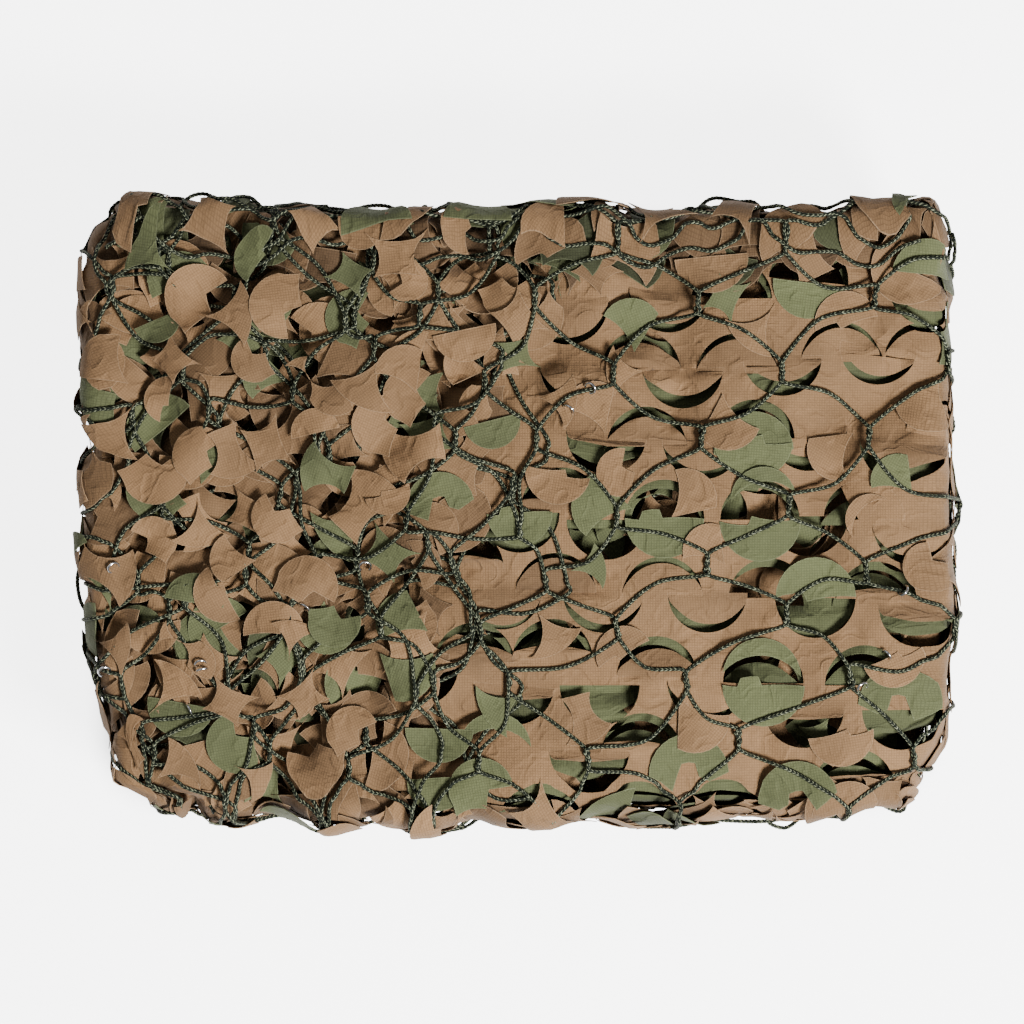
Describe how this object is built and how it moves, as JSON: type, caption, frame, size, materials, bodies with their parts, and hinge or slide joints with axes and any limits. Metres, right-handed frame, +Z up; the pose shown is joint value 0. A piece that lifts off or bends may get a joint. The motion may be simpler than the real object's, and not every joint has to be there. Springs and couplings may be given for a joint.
{
  "type": "folded camouflage net",
  "caption": "Camouflage net folded into a flat bundle: brown over green ripstop with half-circle die-cut leaves, under a dark diamond cord net with small wire rings.",
  "frame": {"origin": "on the surface that the bundle lies on, under the middle of its box", "axes": "+X along the bundle's long side, the way the folds travel; +Y across it, towards the far side; +Z up out of the face that carries the net"},
  "size_m": [0.5218, 0.3679, 0.1374],
  "materials": {
    "brown_ripstop": "matt ripstop weave with a fine grid, edges cut by the die",
    "green_ripstop": "matt ripstop weave with a fine grid, edges cut by the die",
    "braided_cord": "matt knotless braid with light flecks",
    "bright_wire": "bright plated wire"
  },
  "bodies": {
    "root": {"brown_ply": "brown_ripstop", "green_ply": "green_ripstop", "cord_net": "braided_cord", "clip_01": "bright_wire", "clip_02": "bright_wire", "clip_03": "bright_wire", "clip_04": "bright_wire", "clip_05": "bright_wire", "clip_06": "bright_wire", "clip_07": "bright_wire", "clip_08": "bright_wire", "clip_09": "bright_wire", "clip_10": "bright_wire", "clip_11": "bright_wire", "clip_12": "bright_wire"}
  },
  "joints": []
}
